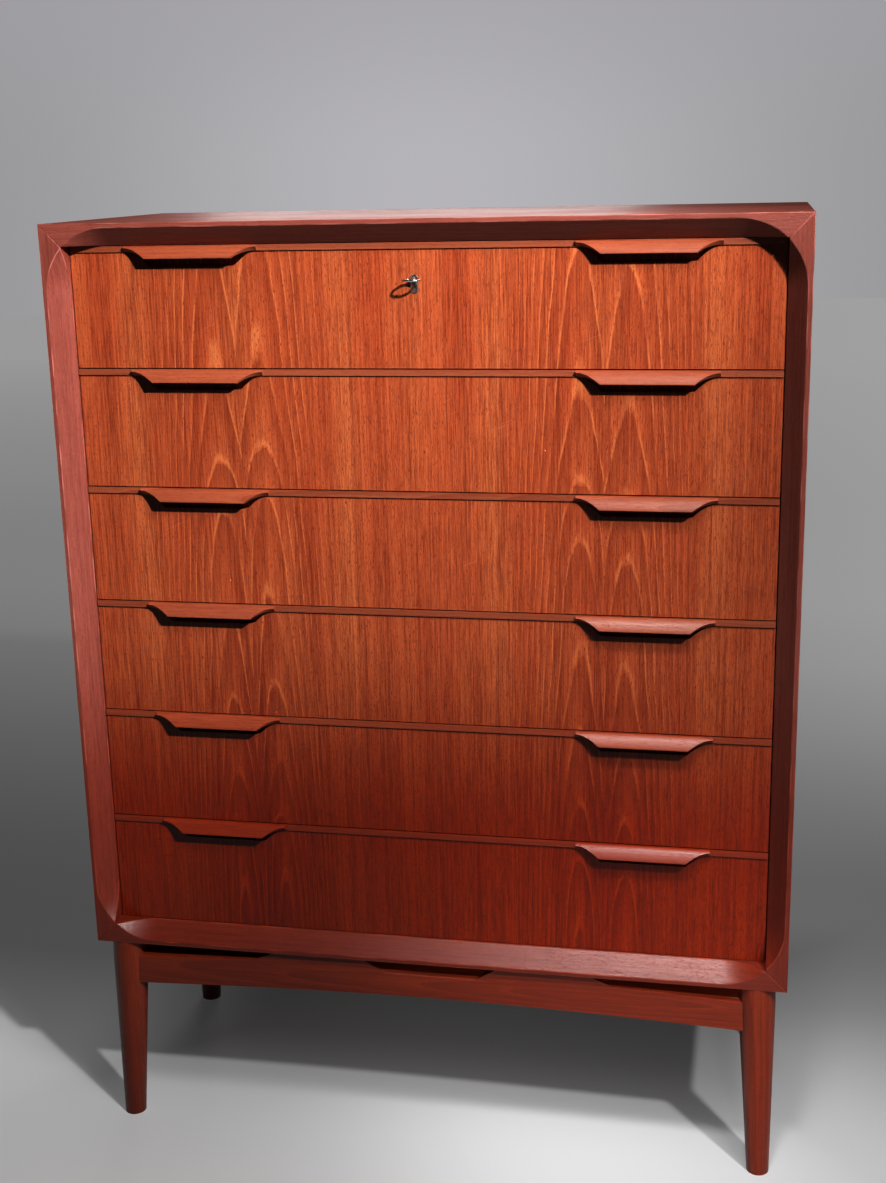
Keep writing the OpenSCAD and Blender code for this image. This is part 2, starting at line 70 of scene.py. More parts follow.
class Graph:
    """A node tree being wired, with short calls for the nodes used again and again."""

    def __init__(self, tree: NodeTree) -> None:
        """Keeps the tree.

        Args:
            tree: the material's or the group's node tree.
        """
        self.tree = tree

    def add(self, kind: str, **settings: object) -> Node:
        """Adds a node.

        Args:
            kind: the node's type name without its "ShaderNode" prefix.
            settings: attributes to set on the node.

        Returns:
            The new node.
        """
        node = self.tree.nodes.new("ShaderNode" + kind)
        for key, value in settings.items():
            setattr(node, key, value)
        return node

    def feed(self, socket: NodeSocket, value: object) -> None:
        """Sets a socket to a constant, or links it to another socket.

        Args:
            socket: the input to feed.
            value: a number, a colour, a vector or an output socket.
        """
        if isinstance(value, NodeSocket):
            self.tree.links.new(value, socket)
        elif isinstance(value, tuple) and socket.type == "RGBA":
            socket.default_value = (*value, 1.0)
        else:
            socket.default_value = value

    def math(self, operation: str, a: object, b: object = None, clamp: bool = False) -> NodeSocket:
        """One step of arithmetic.

        Args:
            operation: the Math node's operation.
            a: the first value.
            b: the second value, if the operation takes one.
            clamp: whether the result is kept from 0 to 1.

        Returns:
            The result's socket.
        """
        node = self.add("Math", operation=operation, use_clamp=clamp)
        self.feed(node.inputs[0], a)
        if b is not None:
            self.feed(node.inputs[1], b)
        return node.outputs[0]

    def mix(self, factor: object, a: object, b: object, blend: str = "MIX") -> NodeSocket:
        """Mixes two colours.

        Args:
            factor: how much of b is laid over a.
            a: the colour below.
            b: the colour above.
            blend: the blend type.

        Returns:
            The mixed colour's socket.
        """
        node = self.add("Mix", data_type="RGBA", blend_type=blend)
        self.feed(node.inputs[0], factor)
        self.feed(node.inputs[6], a)
        self.feed(node.inputs[7], b)
        return node.outputs[2]

    def ramp(self, factor: object, low: float, high: float) -> NodeSocket:
        """A smooth step from 0 at low to 1 at high; low may be above high.

        Args:
            factor: the value that is looked up.
            low: where the step starts.
            high: where it ends.

        Returns:
            The stepped value's socket.
        """
        node = self.add("MapRange", interpolation_type="SMOOTHSTEP")
        self.feed(node.inputs["Value"], factor)
        self.feed(node.inputs["From Min"], low)
        self.feed(node.inputs["From Max"], high)
        return node.outputs["Result"]

    def profile(self, factor: object, stops: Sequence[tuple[float, float]]) -> NodeSocket:
        """A grey that follows a factor through fixed stops.

        Args:
            factor: the value that is looked up, from 0 to 1.
            stops: positions and grey levels, in rising order.

        Returns:
            The grey's socket.
        """
        node = self.add("ValToRGB")
        points = node.color_ramp.elements
        while len(points) < len(stops):
            points.new(0.5)
        for point, (position, level) in zip(points, stops):
            point.position = position
            point.color = (level, level, level, 1.0)
        self.feed(node.inputs[0], factor)
        return node.outputs[0]

    def noise(self, place: object, size: Sequence[float], detail: float = 2.0) -> NodeSocket:
        """Noise about 0.5, stretched so that its lumps have the given size along each axis.

        Args:
            place: the coordinates.
            size: the lump's size in metres along X, Y and Z.
            detail: octaves of detail.

        Returns:
            The noise value's socket.
        """
        mapping = self.add("Mapping")
        self.feed(mapping.inputs["Vector"], place)
        mapping.inputs["Scale"].default_value = tuple(1.0 / s for s in size)
        node = self.add("TexNoise")
        self.feed(node.inputs["Vector"], mapping.outputs[0])
        node.inputs["Scale"].default_value = 1.0
        node.inputs["Detail"].default_value = detail
        return node.outputs[0]

    def own_place(self) -> NodeSocket:
        """The object's own coordinates, in metres."""
        return self.add("TexCoord").outputs["Object"]

    def split(self, place: NodeSocket) -> tuple[NodeSocket, NodeSocket, NodeSocket]:
        """The X, Y and Z of some coordinates."""
        axes = self.add("SeparateXYZ")
        self.feed(axes.inputs[0], place)
        return axes.outputs[0], axes.outputs[1], axes.outputs[2]

    def relief(self, shader: Node, height: NodeSocket, strength: float, distance: float) -> None:
        """Gives a shader a bumpy surface.

        Args:
            shader: the shader whose normal is fed.
            height: the surface's height.
            strength: how strongly it shows.
            distance: its full height in metres.
        """
        node = self.add("Bump")
        node.inputs["Strength"].default_value = strength
        node.inputs["Distance"].default_value = distance
        self.feed(node.inputs["Height"], height)
        self.feed(shader.inputs["Normal"], node.outputs[0])


def new_group(name: str, inputs: dict[str, float], outputs: Sequence[str]) -> tuple[Graph, Node, Node]:
    """Starts a shader node group with a vector input and numbered settings.

    Args:
        name: the group's name.
        inputs: the float inputs and their defaults; "Place" is added before them.
        outputs: the float outputs.

    Returns:
        A graph to wire the group with, its input node and its output node.
    """
    tree = bpy.data.node_groups.new(name, "ShaderNodeTree")
    tree.interface.new_socket("Place", in_out="INPUT", socket_type="NodeSocketVector")
    for key, value in inputs.items():
        socket = tree.interface.new_socket(key, in_out="INPUT", socket_type="NodeSocketFloat")
        socket.default_value = value
    for key in outputs:
        tree.interface.new_socket(key, in_out="OUTPUT", socket_type="NodeSocketFloat")
    return Graph(tree), tree.nodes.new("NodeGroupInput"), tree.nodes.new("NodeGroupOutput")


def wood_figure_group() -> NodeTree:
    """Growth rings cut by a flat face, with fibres, pores and broad changes of tone.

    The face lies in X and Z with the grain along Z. The rings stand round a pith behind the face, so that
    they run straight at the sides and close in arches where the pith comes nearer.

    Returns:
        The group, with outputs Line, Shade, Fibre, Pore and Tone, each from 0 to 1.
    """
    g, source, sink = new_group(
        "wood_figure",
        {"Ring Width": 0.006, "Pith Depth": 0.03, "Rise": 0.05, "Wander": 0.003},
        ("Line", "Shade", "Fibre", "Pore", "Tone"),
    )
    place = source.outputs["Place"]
    across, _, along = g.split(place)
    wander = source.outputs["Wander"]

    drift = g.math("SUBTRACT", g.noise(place, (0.16, 0.5, 0.30), 2.0), 0.5)
    quiver = g.math("SUBTRACT", g.noise(place, (0.012, 0.05, 0.06), 3.0), 0.5)
    depth = g.math("ADD", source.outputs["Pith Depth"], g.math("MULTIPLY", along, source.outputs["Rise"]))
    depth = g.math("ADD", depth, g.math("MULTIPLY", drift, g.math("MULTIPLY", wander, 2.0)))
    radius = g.math("SQRT", g.math("ADD", g.math("POWER", across, 2.0), g.math("POWER", depth, 2.0)))
    radius = g.math("ADD", radius, g.math("MULTIPLY", drift, wander))
    radius = g.math("ADD", radius, g.math("MULTIPLY", quiver, g.math("MULTIPLY", wander, 0.35)))
    rings = g.math("DIVIDE", radius, source.outputs["Ring Width"])
    phase = g.math("FRACT", rings)
    near = g.ramp(g.math("ABSOLUTE", across), 0.115, 0.035)
    line = g.math("MULTIPLY", g.ramp(phase, 0.0, 0.07), g.ramp(phase, 0.20, 0.08))
    uneven = g.ramp(g.noise(place, (0.016, 0.05, 0.12), 2.0), 0.36, 0.60)
    line = g.math("MULTIPLY", line, g.math("MULTIPLY", near, uneven))
    shade = g.math("MULTIPLY", g.ramp(phase, 0.12, 1.0), g.math("ADD", g.math("MULTIPLY", near, 0.65), 0.2))

    fibre = g.noise(place, (0.0008, 0.01, 0.030), 3.0)
    streak = g.noise(place, (0.0024, 0.02, 0.25), 3.0)
    band = g.noise(place, (0.016, 0.05, 0.9), 2.0)
    fibre = g.math("ADD", g.math("MULTIPLY", fibre, 0.50), g.math("MULTIPLY", streak, 0.34))
    fibre = g.math("ADD", fibre, g.math("MULTIPLY", band, 0.16))
    pore = g.ramp(g.noise(place, (0.00055, 0.004, 0.006), 1.0), 0.60, 0.68)
    tone = g.noise(place, (0.06, 0.2, 0.6), 2.0)

    outputs = {"Line": line, "Shade": shade, "Fibre": fibre, "Pore": pore, "Tone": tone}
    for key, value in outputs.items():
        g.feed(sink.inputs[key], value)
    return g.tree


def scuff_group() -> NodeTree:
    """Small pale dents and short fine scratches.

    Returns:
        The group, with outputs Dent and Scratch.
    """
    g, source, sink = new_group("scuffs", {"Spacing": 0.09, "Size": 0.0013}, ("Dent", "Scratch"))
    place = source.outputs["Place"]
    spread = g.add("VectorMath", operation="SCALE")
    g.feed(spread.inputs[0], place)
    g.feed(spread.inputs["Scale"], g.math("DIVIDE", 1.0, source.outputs["Spacing"]))
    cells = g.add("TexVoronoi", feature="F1")
    g.feed(cells.inputs["Vector"], spread.outputs[0])
    cells.inputs["Scale"].default_value = 1.0
    reach = g.math("DIVIDE", source.outputs["Size"], source.outputs["Spacing"])
    ragged = g.math("ADD", 0.5, g.noise(place, (0.0012, 0.0012, 0.0012), 2.0))
    near = g.math("SUBTRACT", g.math("MULTIPLY", reach, ragged), cells.outputs["Distance"])
    dent = g.ramp(near, 0.0, 0.004)

    turn = g.add("Mapping")
    g.feed(turn.inputs["Vector"], place)
    turn.inputs["Rotation"].default_value = (0.0, math.radians(68), 0.0)
    hair = g.noise(turn.outputs[0], (0.0006, 0.05, 0.055), 1.0)
    patch = g.noise(place, (0.11, 0.11, 0.09), 1.0)
    scratch = g.math("MULTIPLY", g.ramp(hair, 0.705, 0.73), g.ramp(patch, 0.60, 0.68))
    g.feed(sink.inputs["Dent"], dent)
    g.feed(sink.inputs["Scratch"], scratch)
    return g.tree


def painted_light_height_group() -> NodeTree:
    """Where a piece stands, for the painted light and shade: 0 at the lowest drawers and the base, 1 at the
    upper drawers.

    Returns:
        The group, with output High.
    """
    g, source, sink = new_group("height", {"Low": 0.44, "High": 0.76}, ("High",))
    _, _, up = g.split(source.outputs["Place"])
    g.feed(sink.inputs["High"], g.ramp(up, source.outputs["Low"], source.outputs["High"]))
    return g.tree


class Effects:
    """The shared shader groups, each built once."""

    built: dict[str, NodeTree] = {}

    @classmethod
    def get(cls, name: str, build: Callable[[], NodeTree]) -> NodeTree:
        """Returns a group, building it the first time."""
        if name not in cls.built:
            cls.built[name] = build()
        return cls.built[name]

    @classmethod
    def place(cls, g: Graph, name: str, build: Callable[[], NodeTree], **values: object) -> Node:
        """Puts a group in a material.

        Args:
            g: the material's graph.
            name: the group's name.
            build: what builds it.
            values: its inputs, with spaces in their names written as underscores.

        Returns:
            The group node.
        """
        node = g.add("Group")
        node.node_tree = cls.get(name, build)
        for key, value in values.items():
            g.feed(node.inputs[key.replace("_", " ")], value)
        return node


# ---- Finishes ------------------------------------------------------------


def start_material(name: str) -> tuple[Material, Graph, Node]:
    """Starts a material on the Principled shader.

    Args:
        name: the material's name.

    Returns:
        The material, its graph and its Principled node.
    """
    material = bpy.data.materials.new(name)
    material.use_nodes = True
    graph = Graph(material.node_tree)
    return material, graph, material.node_tree.nodes["Principled BSDF"]


@dataclass(frozen=True)
class TeakFinish:
    """Oiled teak. The grain runs along one row axis."""

    name: str
    light: Colour
    body: Colour
    deep: Colour
    grain: Grain = Grain.UPRIGHT
    ring_width: float = 0.006
    pith: tuple[float, float] = (0.0, 0.03)
    rise: float = 0.03
    wander: float = 0.003
    roughness: float = 0.42
    specular: float = 0.5
    scuffs: float = 0.5
    evenness: float = 0.85
    fibres: float = 0.55
    lines: float = 0.38
    pores: float = 0.5
    # Painted light: the colour's change at the bottom (painted shade) and at the top (painted sheen) of the
    # lamp's falloff
    painted_shade_low: Colour = (0.68, 0.36, 0.27)
    painted_light_high: Colour = (1.0, 1.05, 1.30)

    def figure_place(self, g: Graph) -> NodeSocket:
        """The coordinates that the figure is drawn on, with the grain along Z."""
        turn = g.add("Mapping")
        g.feed(turn.inputs["Vector"], g.own_place())
        turn.inputs["Rotation"].default_value = self.grain.value
        shift = g.add("Mapping")
        g.feed(shift.inputs["Vector"], turn.outputs[0])
        shift.inputs["Location"].default_value = (-self.pith[0], 0.0, 0.0)
        return shift.outputs[0]

    def paint_height_light(self, g: Graph, colour: NodeSocket) -> NodeSocket:
        """Paints the lamp's falloff into the colour: painted shade deepens and reddens the lower pieces, and
        a painted sheen makes the upper ones less red.

        Args:
            g: the material's graph.
            colour: the wood's colour.

        Returns:
            The tinted colour.
        """
        height = Effects.place(g, "height", painted_light_height_group, Place=g.own_place())
        strength = g.mix(height.outputs["High"], self.painted_shade_low, self.painted_light_high)
        return g.mix(1.0, colour, strength, "MULTIPLY")

    def build(self) -> Material:
        """Wires the material.

        Returns:
            The finished material.
        """
        material, g, shader = start_material(self.name)
        place = self.figure_place(g)
        figure = Effects.place(
            g, "wood_figure", wood_figure_group, Place=place, Ring_Width=self.ring_width,
            Pith_Depth=self.pith[1], Rise=self.rise, Wander=self.wander,
        )
        marks = Effects.place(g, "scuffs", scuff_group, Place=place)
        tone = g.math("MULTIPLY", g.ramp(figure.outputs["Tone"], 0.25, 0.80), self.evenness)
        colour = g.mix(tone, self.body, self.light)
        shade = g.math("MULTIPLY", figure.outputs["Shade"], 0.42)
        colour = g.mix(shade, colour, self.deep)
        fibre = g.ramp(figure.outputs["Fibre"], 0.62, 0.34)
        colour = g.mix(g.math("MULTIPLY", fibre, self.fibres), colour, self.deep)
        colour = g.mix(g.math("MULTIPLY", figure.outputs["Line"], self.lines), colour, self.light)
        colour = g.mix(g.math("MULTIPLY", figure.outputs["Pore"], self.pores), colour, self.deep)
        pale = tuple(min(1.0, c * 1.5 + 0.05) for c in self.light)
        wear = g.add("Attribute", attribute_name="wear")
        rub = g.math("MULTIPLY", wear.outputs["Fac"], g.ramp(g.noise(place, (0.03, 0.03, 0.05)), 0.40, 0.62))
        colour = g.mix(g.math("MULTIPLY", rub, 0.55), colour, pale)
        worn = g.math("MULTIPLY", marks.outputs["Dent"], self.scuffs)
        worn = g.math("MAXIMUM", worn, g.math("MULTIPLY", marks.outputs["Scratch"], 0.45 * self.scuffs))
        # Painted shade on the lower pieces and painted sheen on the upper ones
        colour = self.paint_height_light(g, g.mix(worn, colour, pale))
        g.feed(shader.inputs["Base Color"], colour)
        sheen = g.math("MULTIPLY", g.math("SUBTRACT", figure.outputs["Fibre"], 0.5), -0.25)
        cloud = g.math("MULTIPLY", g.math("SUBTRACT", g.noise(place, (0.12, 0.12, 0.2)), 0.5), 0.18)
        rough = g.math("ADD", g.math("ADD", sheen, cloud), self.roughness)
        g.feed(shader.inputs["Roughness"], g.math("MAXIMUM", rough, 0.18))
        shader.inputs["Specular IOR Level"].default_value = self.specular
        relief = g.math("SUBTRACT", g.math("MULTIPLY", figure.outputs["Fibre"], 0.5), figure.outputs["Pore"])
        relief = g.math("SUBTRACT", relief, g.math("MULTIPLY", marks.outputs["Dent"], 2.0))
        g.relief(shader, relief, 0.35, 0.00025)
        return material


@dataclass(frozen=True)
class MatchedVeneer(TeakFinish):
    """Teak veneer laid in leaves that mirror each other across upright seams."""

    seam: float = 0.230
    arch_in: float = 0.029
    outer_slip: float = 0.021
    right_slip: float = 0.043

    def figure_place(self, g: Graph) -> NodeSocket:
        """Folds the width at each seam, so that neighbouring leaves mirror each other."""
        across, deep, up = g.split(g.own_place())
        from_seam = g.math("SUBTRACT", g.math("ABSOLUTE", across), self.seam)
        fold = g.math("SUBTRACT", g.math("ABSOLUTE", from_seam), self.arch_in)
        leaf = g.math("GREATER_THAN", from_seam, 0.0)
        side = g.math("GREATER_THAN", across, 0.0)
        slip = g.math("MULTIPLY", leaf, self.outer_slip)
        slip = g.math("ADD", slip, g.math("MULTIPLY", side, self.right_slip))
        joined = g.add("CombineXYZ")
        g.feed(joined.inputs[0], fold)
        g.feed(joined.inputs[1], g.math("ADD", deep, g.math("MULTIPLY", slip, 0.6)))
        g.feed(joined.inputs[2], g.math("ADD", up, slip))
        return joined.outputs[0]


@dataclass(frozen=True)
class PaleWoodFinish:
    """Lacquered pale hardwood for the insides."""

    name: str
    light: Colour
    deep: Colour
    grain: Grain = Grain.ALONG_Y
    roughness: float = 0.5

    def build(self) -> Material:
        """Wires the material."""
        material, g, shader = start_material(self.name)
        turn = g.add("Mapping")
        g.feed(turn.inputs["Vector"], g.own_place())
        turn.inputs["Rotation"].default_value = self.grain.value
        figure = Effects.place(
            g, "wood_figure", wood_figure_group, Place=turn.outputs[0], Ring_Width=0.004,
            Pith_Depth=0.05, Rise=0.03, Wander=0.004,
        )
        colour = g.mix(g.math("MULTIPLY", figure.outputs["Shade"], 0.5), self.light, self.deep)
        fleck = g.math("MULTIPLY", g.ramp(figure.outputs["Fibre"], 0.6, 0.36), 0.4)
        colour = g.mix(fleck, colour, self.deep)
        g.feed(shader.inputs["Base Color"], colour)
        rough = g.math("ADD", g.math("MULTIPLY", figure.outputs["Fibre"], 0.15), self.roughness - 0.08)
        g.feed(shader.inputs["Roughness"], rough)
        g.relief(shader, figure.outputs["Fibre"], 0.25, 0.0002)
        return material


@dataclass(frozen=True)
class MetalFinish:
    """Plated or plain metal, dulled by handling."""

    name: str
    bright: Colour
    dull: Colour
    roughness: float = 0.25

    def build(self) -> Material:
        """Wires the material."""
        material, g, shader = start_material(self.name)
        place = g.own_place()
        tarnish = g.ramp(g.noise(place, (0.004, 0.004, 0.004), 4.0), 0.42, 0.68)
        g.feed(shader.inputs["Base Color"], g.mix(g.math("MULTIPLY", tarnish, 0.7), self.bright, self.dull))
        shader.inputs["Metallic"].default_value = 1.0
        grit = g.noise(place, (0.0006, 0.0006, 0.0006), 3.0)
        rough = g.math("ADD", g.math("MULTIPLY", tarnish, 0.22), g.math("MULTIPLY", grit, 0.12))
        g.feed(shader.inputs["Roughness"], g.math("ADD", rough, self.roughness - 0.06))
        g.relief(shader, grit, 0.2, 0.0001)
        return material


CASE_TEAK = {"light": (0.36, 0.105, 0.062), "body": (0.27, 0.065, 0.036), "deep": (0.13, 0.021, 0.010)}
RAIL_TEAK = {"light": (0.46, 0.125, 0.040), "body": (0.34, 0.075, 0.022), "deep": (0.15, 0.026, 0.007)}
BOX_WOOD = {"light": (0.66, 0.46, 0.26), "deep": (0.44, 0.27, 0.13)}

FINISHES = (
    MatchedVeneer(
        "teak_front", light=(0.56, 0.160, 0.040), body=(0.40, 0.074, 0.018), deep=(0.135, 0.013, 0.003),
        ring_width=0.0058, pith=(0.0, 0.008), rise=0.05, wander=0.005, roughness=0.34, specular=0.38,
        # Painted shade low and painted sheen high, for the light's falloff down the front
        evenness=0.62, fibres=0.80, lines=0.62, pores=0.85, painted_shade_low=(0.63, 0.25, 0.07),
        painted_light_high=(1.16, 1.34, 1.95),
    ),
    TeakFinish("teak_case_level", **CASE_TEAK, grain=Grain.ALONG_X, pith=(0.16, 0.03)),
    TeakFinish("teak_case_upright", **CASE_TEAK, pith=(0.16, 0.03)),
    TeakFinish(
        "teak_lip", light=(0.46, 0.125, 0.048), body=(0.36, 0.080, 0.028), deep=(0.19, 0.030, 0.009),
        grain=Grain.ALONG_X, ring_width=0.004, pith=(0.9, 0.03), roughness=0.40,
        # Painted light: the lip is dimmed and made less red at the top
        painted_light_high=(0.84, 0.90, 1.10),
    ),
    TeakFinish(
        "teak_rail", **RAIL_TEAK, grain=Grain.ALONG_X, ring_width=0.007, pith=(0.24, 0.012), rise=0.05,
        scuffs=0.8,
    ),
    TeakFinish("teak_side_rail", **RAIL_TEAK, grain=Grain.ALONG_Y, pith=(0.24, 0.03), rise=0.04),
    TeakFinish(
        "teak_leg", light=(0.46, 0.125, 0.036), body=(0.34, 0.075, 0.020), deep=(0.15, 0.026, 0.007),
        pith=(0.42, 0.012), rise=0.05, scuffs=1.0,
    ),
    PaleWoodFinish("drawer_wood", **BOX_WOOD),
    PaleWoodFinish("drawer_back", **BOX_WOOD, grain=Grain.ALONG_X),
    PaleWoodFinish(
        "plywood", light=(0.50, 0.29, 0.14), deep=(0.30, 0.15, 0.06), grain=Grain.UPRIGHT, roughness=0.6
    ),
    MetalFinish("steel", bright=(0.50, 0.51, 0.52), dull=(0.24, 0.23, 0.22), roughness=0.38),
    MetalFinish("brass", bright=(0.70, 0.52, 0.24), dull=(0.34, 0.23, 0.10), roughness=0.35),
    MetalFinish("nickel", bright=(0.80, 0.79, 0.75), dull=(0.42, 0.40, 0.34), roughness=0.22),
)


class Finishes:
    """Builds each material the first time it is asked for."""

    named = {finish.name: finish for finish in FINISHES}
    made: dict[str, Material] = {}

    @classmethod
    def get(cls, name: str) -> Material:
        """Returns the material of a named finish."""
        if name not in cls.made:
            cls.made[name] = cls.named[name].build()
        return cls.made[name]


# ---- Mesh helpers --------------------------------------------------------

MERGE_GAP = 0.00001
FLAT_ANGLE = math.radians(0.2)
ARRIS_ANGLE = math.radians(28)
CREASE_ANGLE = math.radians(30)


def merged_copy(node: str) -> bmesh.types.BMesh:
    """A merged copy of a CAD node's mesh, with its flat faces joined up.

    Args:
        node: the CAD node's name.

    Returns:
        A new bmesh.
    """
    bm = bmesh.new()
    bm.from_mesh(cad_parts[node].data)
    bmesh.ops.remove_doubles(bm, verts=bm.verts, dist=MERGE_GAP)
    bmesh.ops.dissolve_limit(
        bm, angle_limit=FLAT_ANGLE, use_dissolve_boundaries=False,
        verts=bm.verts, edges=bm.edges, delimit={"NORMAL"},
    )
    return bm


def soften(bm: bmesh.types.BMesh, width: float, segments: int = 2, shortest: float = 0.0014) -> None:
    """Rounds the sharp edges and marks the new faces as worn.

    Args:
        bm: the mesh.
        width: the bevel's width in metres.
        segments: the bevel's segments.
        shortest: edges shorter than this stay sharp.
    """
    wear = bm.faces.layers.float.get("wear") or bm.faces.layers.float.new("wear")
    sharp = [
        e for e in bm.edges
        if len(e.link_faces) == 2 and e.calc_face_angle() > ARRIS_ANGLE and e.calc_length() > shortest
    ]
    made = bmesh.ops.bevel(
        bm, geom=sharp, offset=width, offset_type="OFFSET", segments=segments, profile=0.5,
        affect="EDGES", material=-1, clamp_overlap=True,
    )
    for face in made["faces"]:
        face[wear] = 1.0


def shade_mesh(bm: bmesh.types.BMesh) -> None:
    """Shades the mesh smooth, but keeps creases and the rims of the eased edges sharp.

    The rims stay sharp so that the broad flat faces keep their own normals.

    Args:
        bm: the mesh.
    """
    wear = bm.faces.layers.float.get("wear")
    for edge in bm.edges:
        faces = edge.link_faces
        rim = wear is not None and len(faces) == 2 and faces[0][wear] != faces[1][wear]
        edge.smooth = not rim and edge.calc_face_angle(0.0) < CREASE_ANGLE
    for face in bm.faces:
        face.smooth = True


def settle(
    bm: bmesh.types.BMesh, name: str, finish: str, body: str, replaces: Sequence[str] = (),
) -> Object:
    """Makes the finished piece: shaded, dressed, riding on its body and standing for its CAD nodes.

    Args:
        bm: the mesh, which is used up.
        name: the piece's name.
        finish: the finish's name.
        body: the CAD body it rides on.
        replaces: the CAD nodes it stands for.

    Returns:
        The new object.
    """
    shade_mesh(bm)
    mesh = bpy.data.meshes.new(name)
    bm.to_mesh(mesh)
    bm.free()
    piece = bpy.data.objects.new(name, mesh)
    bpy.context.scene.collection.objects.link(piece)
    piece.data.materials.append(Finishes.get(finish))
    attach(piece, body)
    if replaces:
        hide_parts(*replaces)
    LOG.info("%s: %d faces, on %s", name, len(mesh.polygons), body)
    return piece


def softened(node: str, finish: str, body: str, width: float = 0.0006) -> Object:
    """A CAD node's shape with its arrises eased.

    Args:
        node: the CAD node.
        finish: the finish's name.
        body: the CAD body it rides on.
        width: the width of the eased edges in metres.

    Returns:
        The new piece, which stands for the node.
    """
    bm = merged_copy(node)
    soften(bm, width)
    return settle(bm, node + "_eased", finish, body, [node])


def dress(node: str, finish: str) -> None:
    """Gives a CAD node that keeps its own mesh a better material."""
    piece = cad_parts[node]
    piece.data.materials.clear()
    piece.data.materials.append(Finishes.get(finish))
    LOG.info("%s: dressed in %s", node, finish)


# ---- Sub-assemblies ------------------------------------------------------


@dataclass
class Case:
    """The mitred case, its back, its runners and their fastenings."""

    arris: float = 0.0009

    def build(self) -> None:
        """Builds and dresses every piece of the case."""
        for node in ("case_top", "case_bottom"):
            softened(node, "teak_case_level", "case", self.arris)
        for node in ("case_left_side", "case_right_side"):
            softened(node, "teak_case_upright", "case", self.arris)
        softened("back_panel", "plywood", "case")
        for node in ("left_runners", "right_runners"):
            softened(node, "drawer_wood", "case")
        dress("corner_splines", "drawer_wood")
        dress("back_screws", "brass")
        dress("runner_screws", "steel")


@dataclass
class Drawer:
    """One drawer."""

    number: int
    arris: float = 0.0004

    def build(self) -> None:
        """Builds and dresses the drawer's pieces."""
        body = f"drawer_{self.number}"
        softened(body + "_front", "teak_front", body, self.arris)
        softened(body + "_lip", "teak_lip", body, self.arris)
        for part in ("_left_side", "_right_side"):
            softened(body + part, "drawer_wood", body)
        softened(body + "_back", "drawer_back", body)
        softened(body + "_bottom", "plywood", body)


@dataclass
class Lock:
    """The top drawer's lock, its inlaid ring and its key."""

    ring_arris: float = 0.00025
    key_arris: float = 0.0002

    def build(self) -> None:
        """Builds and dresses the lock's pieces."""
        ring = softened("keyhole_ring", "nickel", "drawer_1", self.ring_arris)
        key = softened("key", "nickel", "key", self.key_arris)
        # The metal is left out of the light that matt surfaces gather from their surroundings
        for piece in (ring, key):
            piece.visible_diffuse = False
        dress("lock_case", "steel")
        dress("lock_bolt", "brass")


@dataclass
class Base:
    """Four round legs and the rails between them."""

    rail_arris: float = 0.0012
    leg_arris: float = 0.001

    def build(self) -> None:
        """Builds and dresses the base."""
        for node in ("front_rail", "back_rail"):
            softened(node, "teak_rail", "case", self.rail_arris)
        for node in ("left_rail", "right_rail"):
            softened(node, "teak_side_rail", "case", self.rail_arris)
        for node in ("front_left_leg", "front_right_leg", "back_left_leg", "back_right_leg"):
            softened(node, "teak_leg", "case", self.leg_arris)
        dress("base_screws", "steel")


# ---- Studio --------------------------------------------------------------


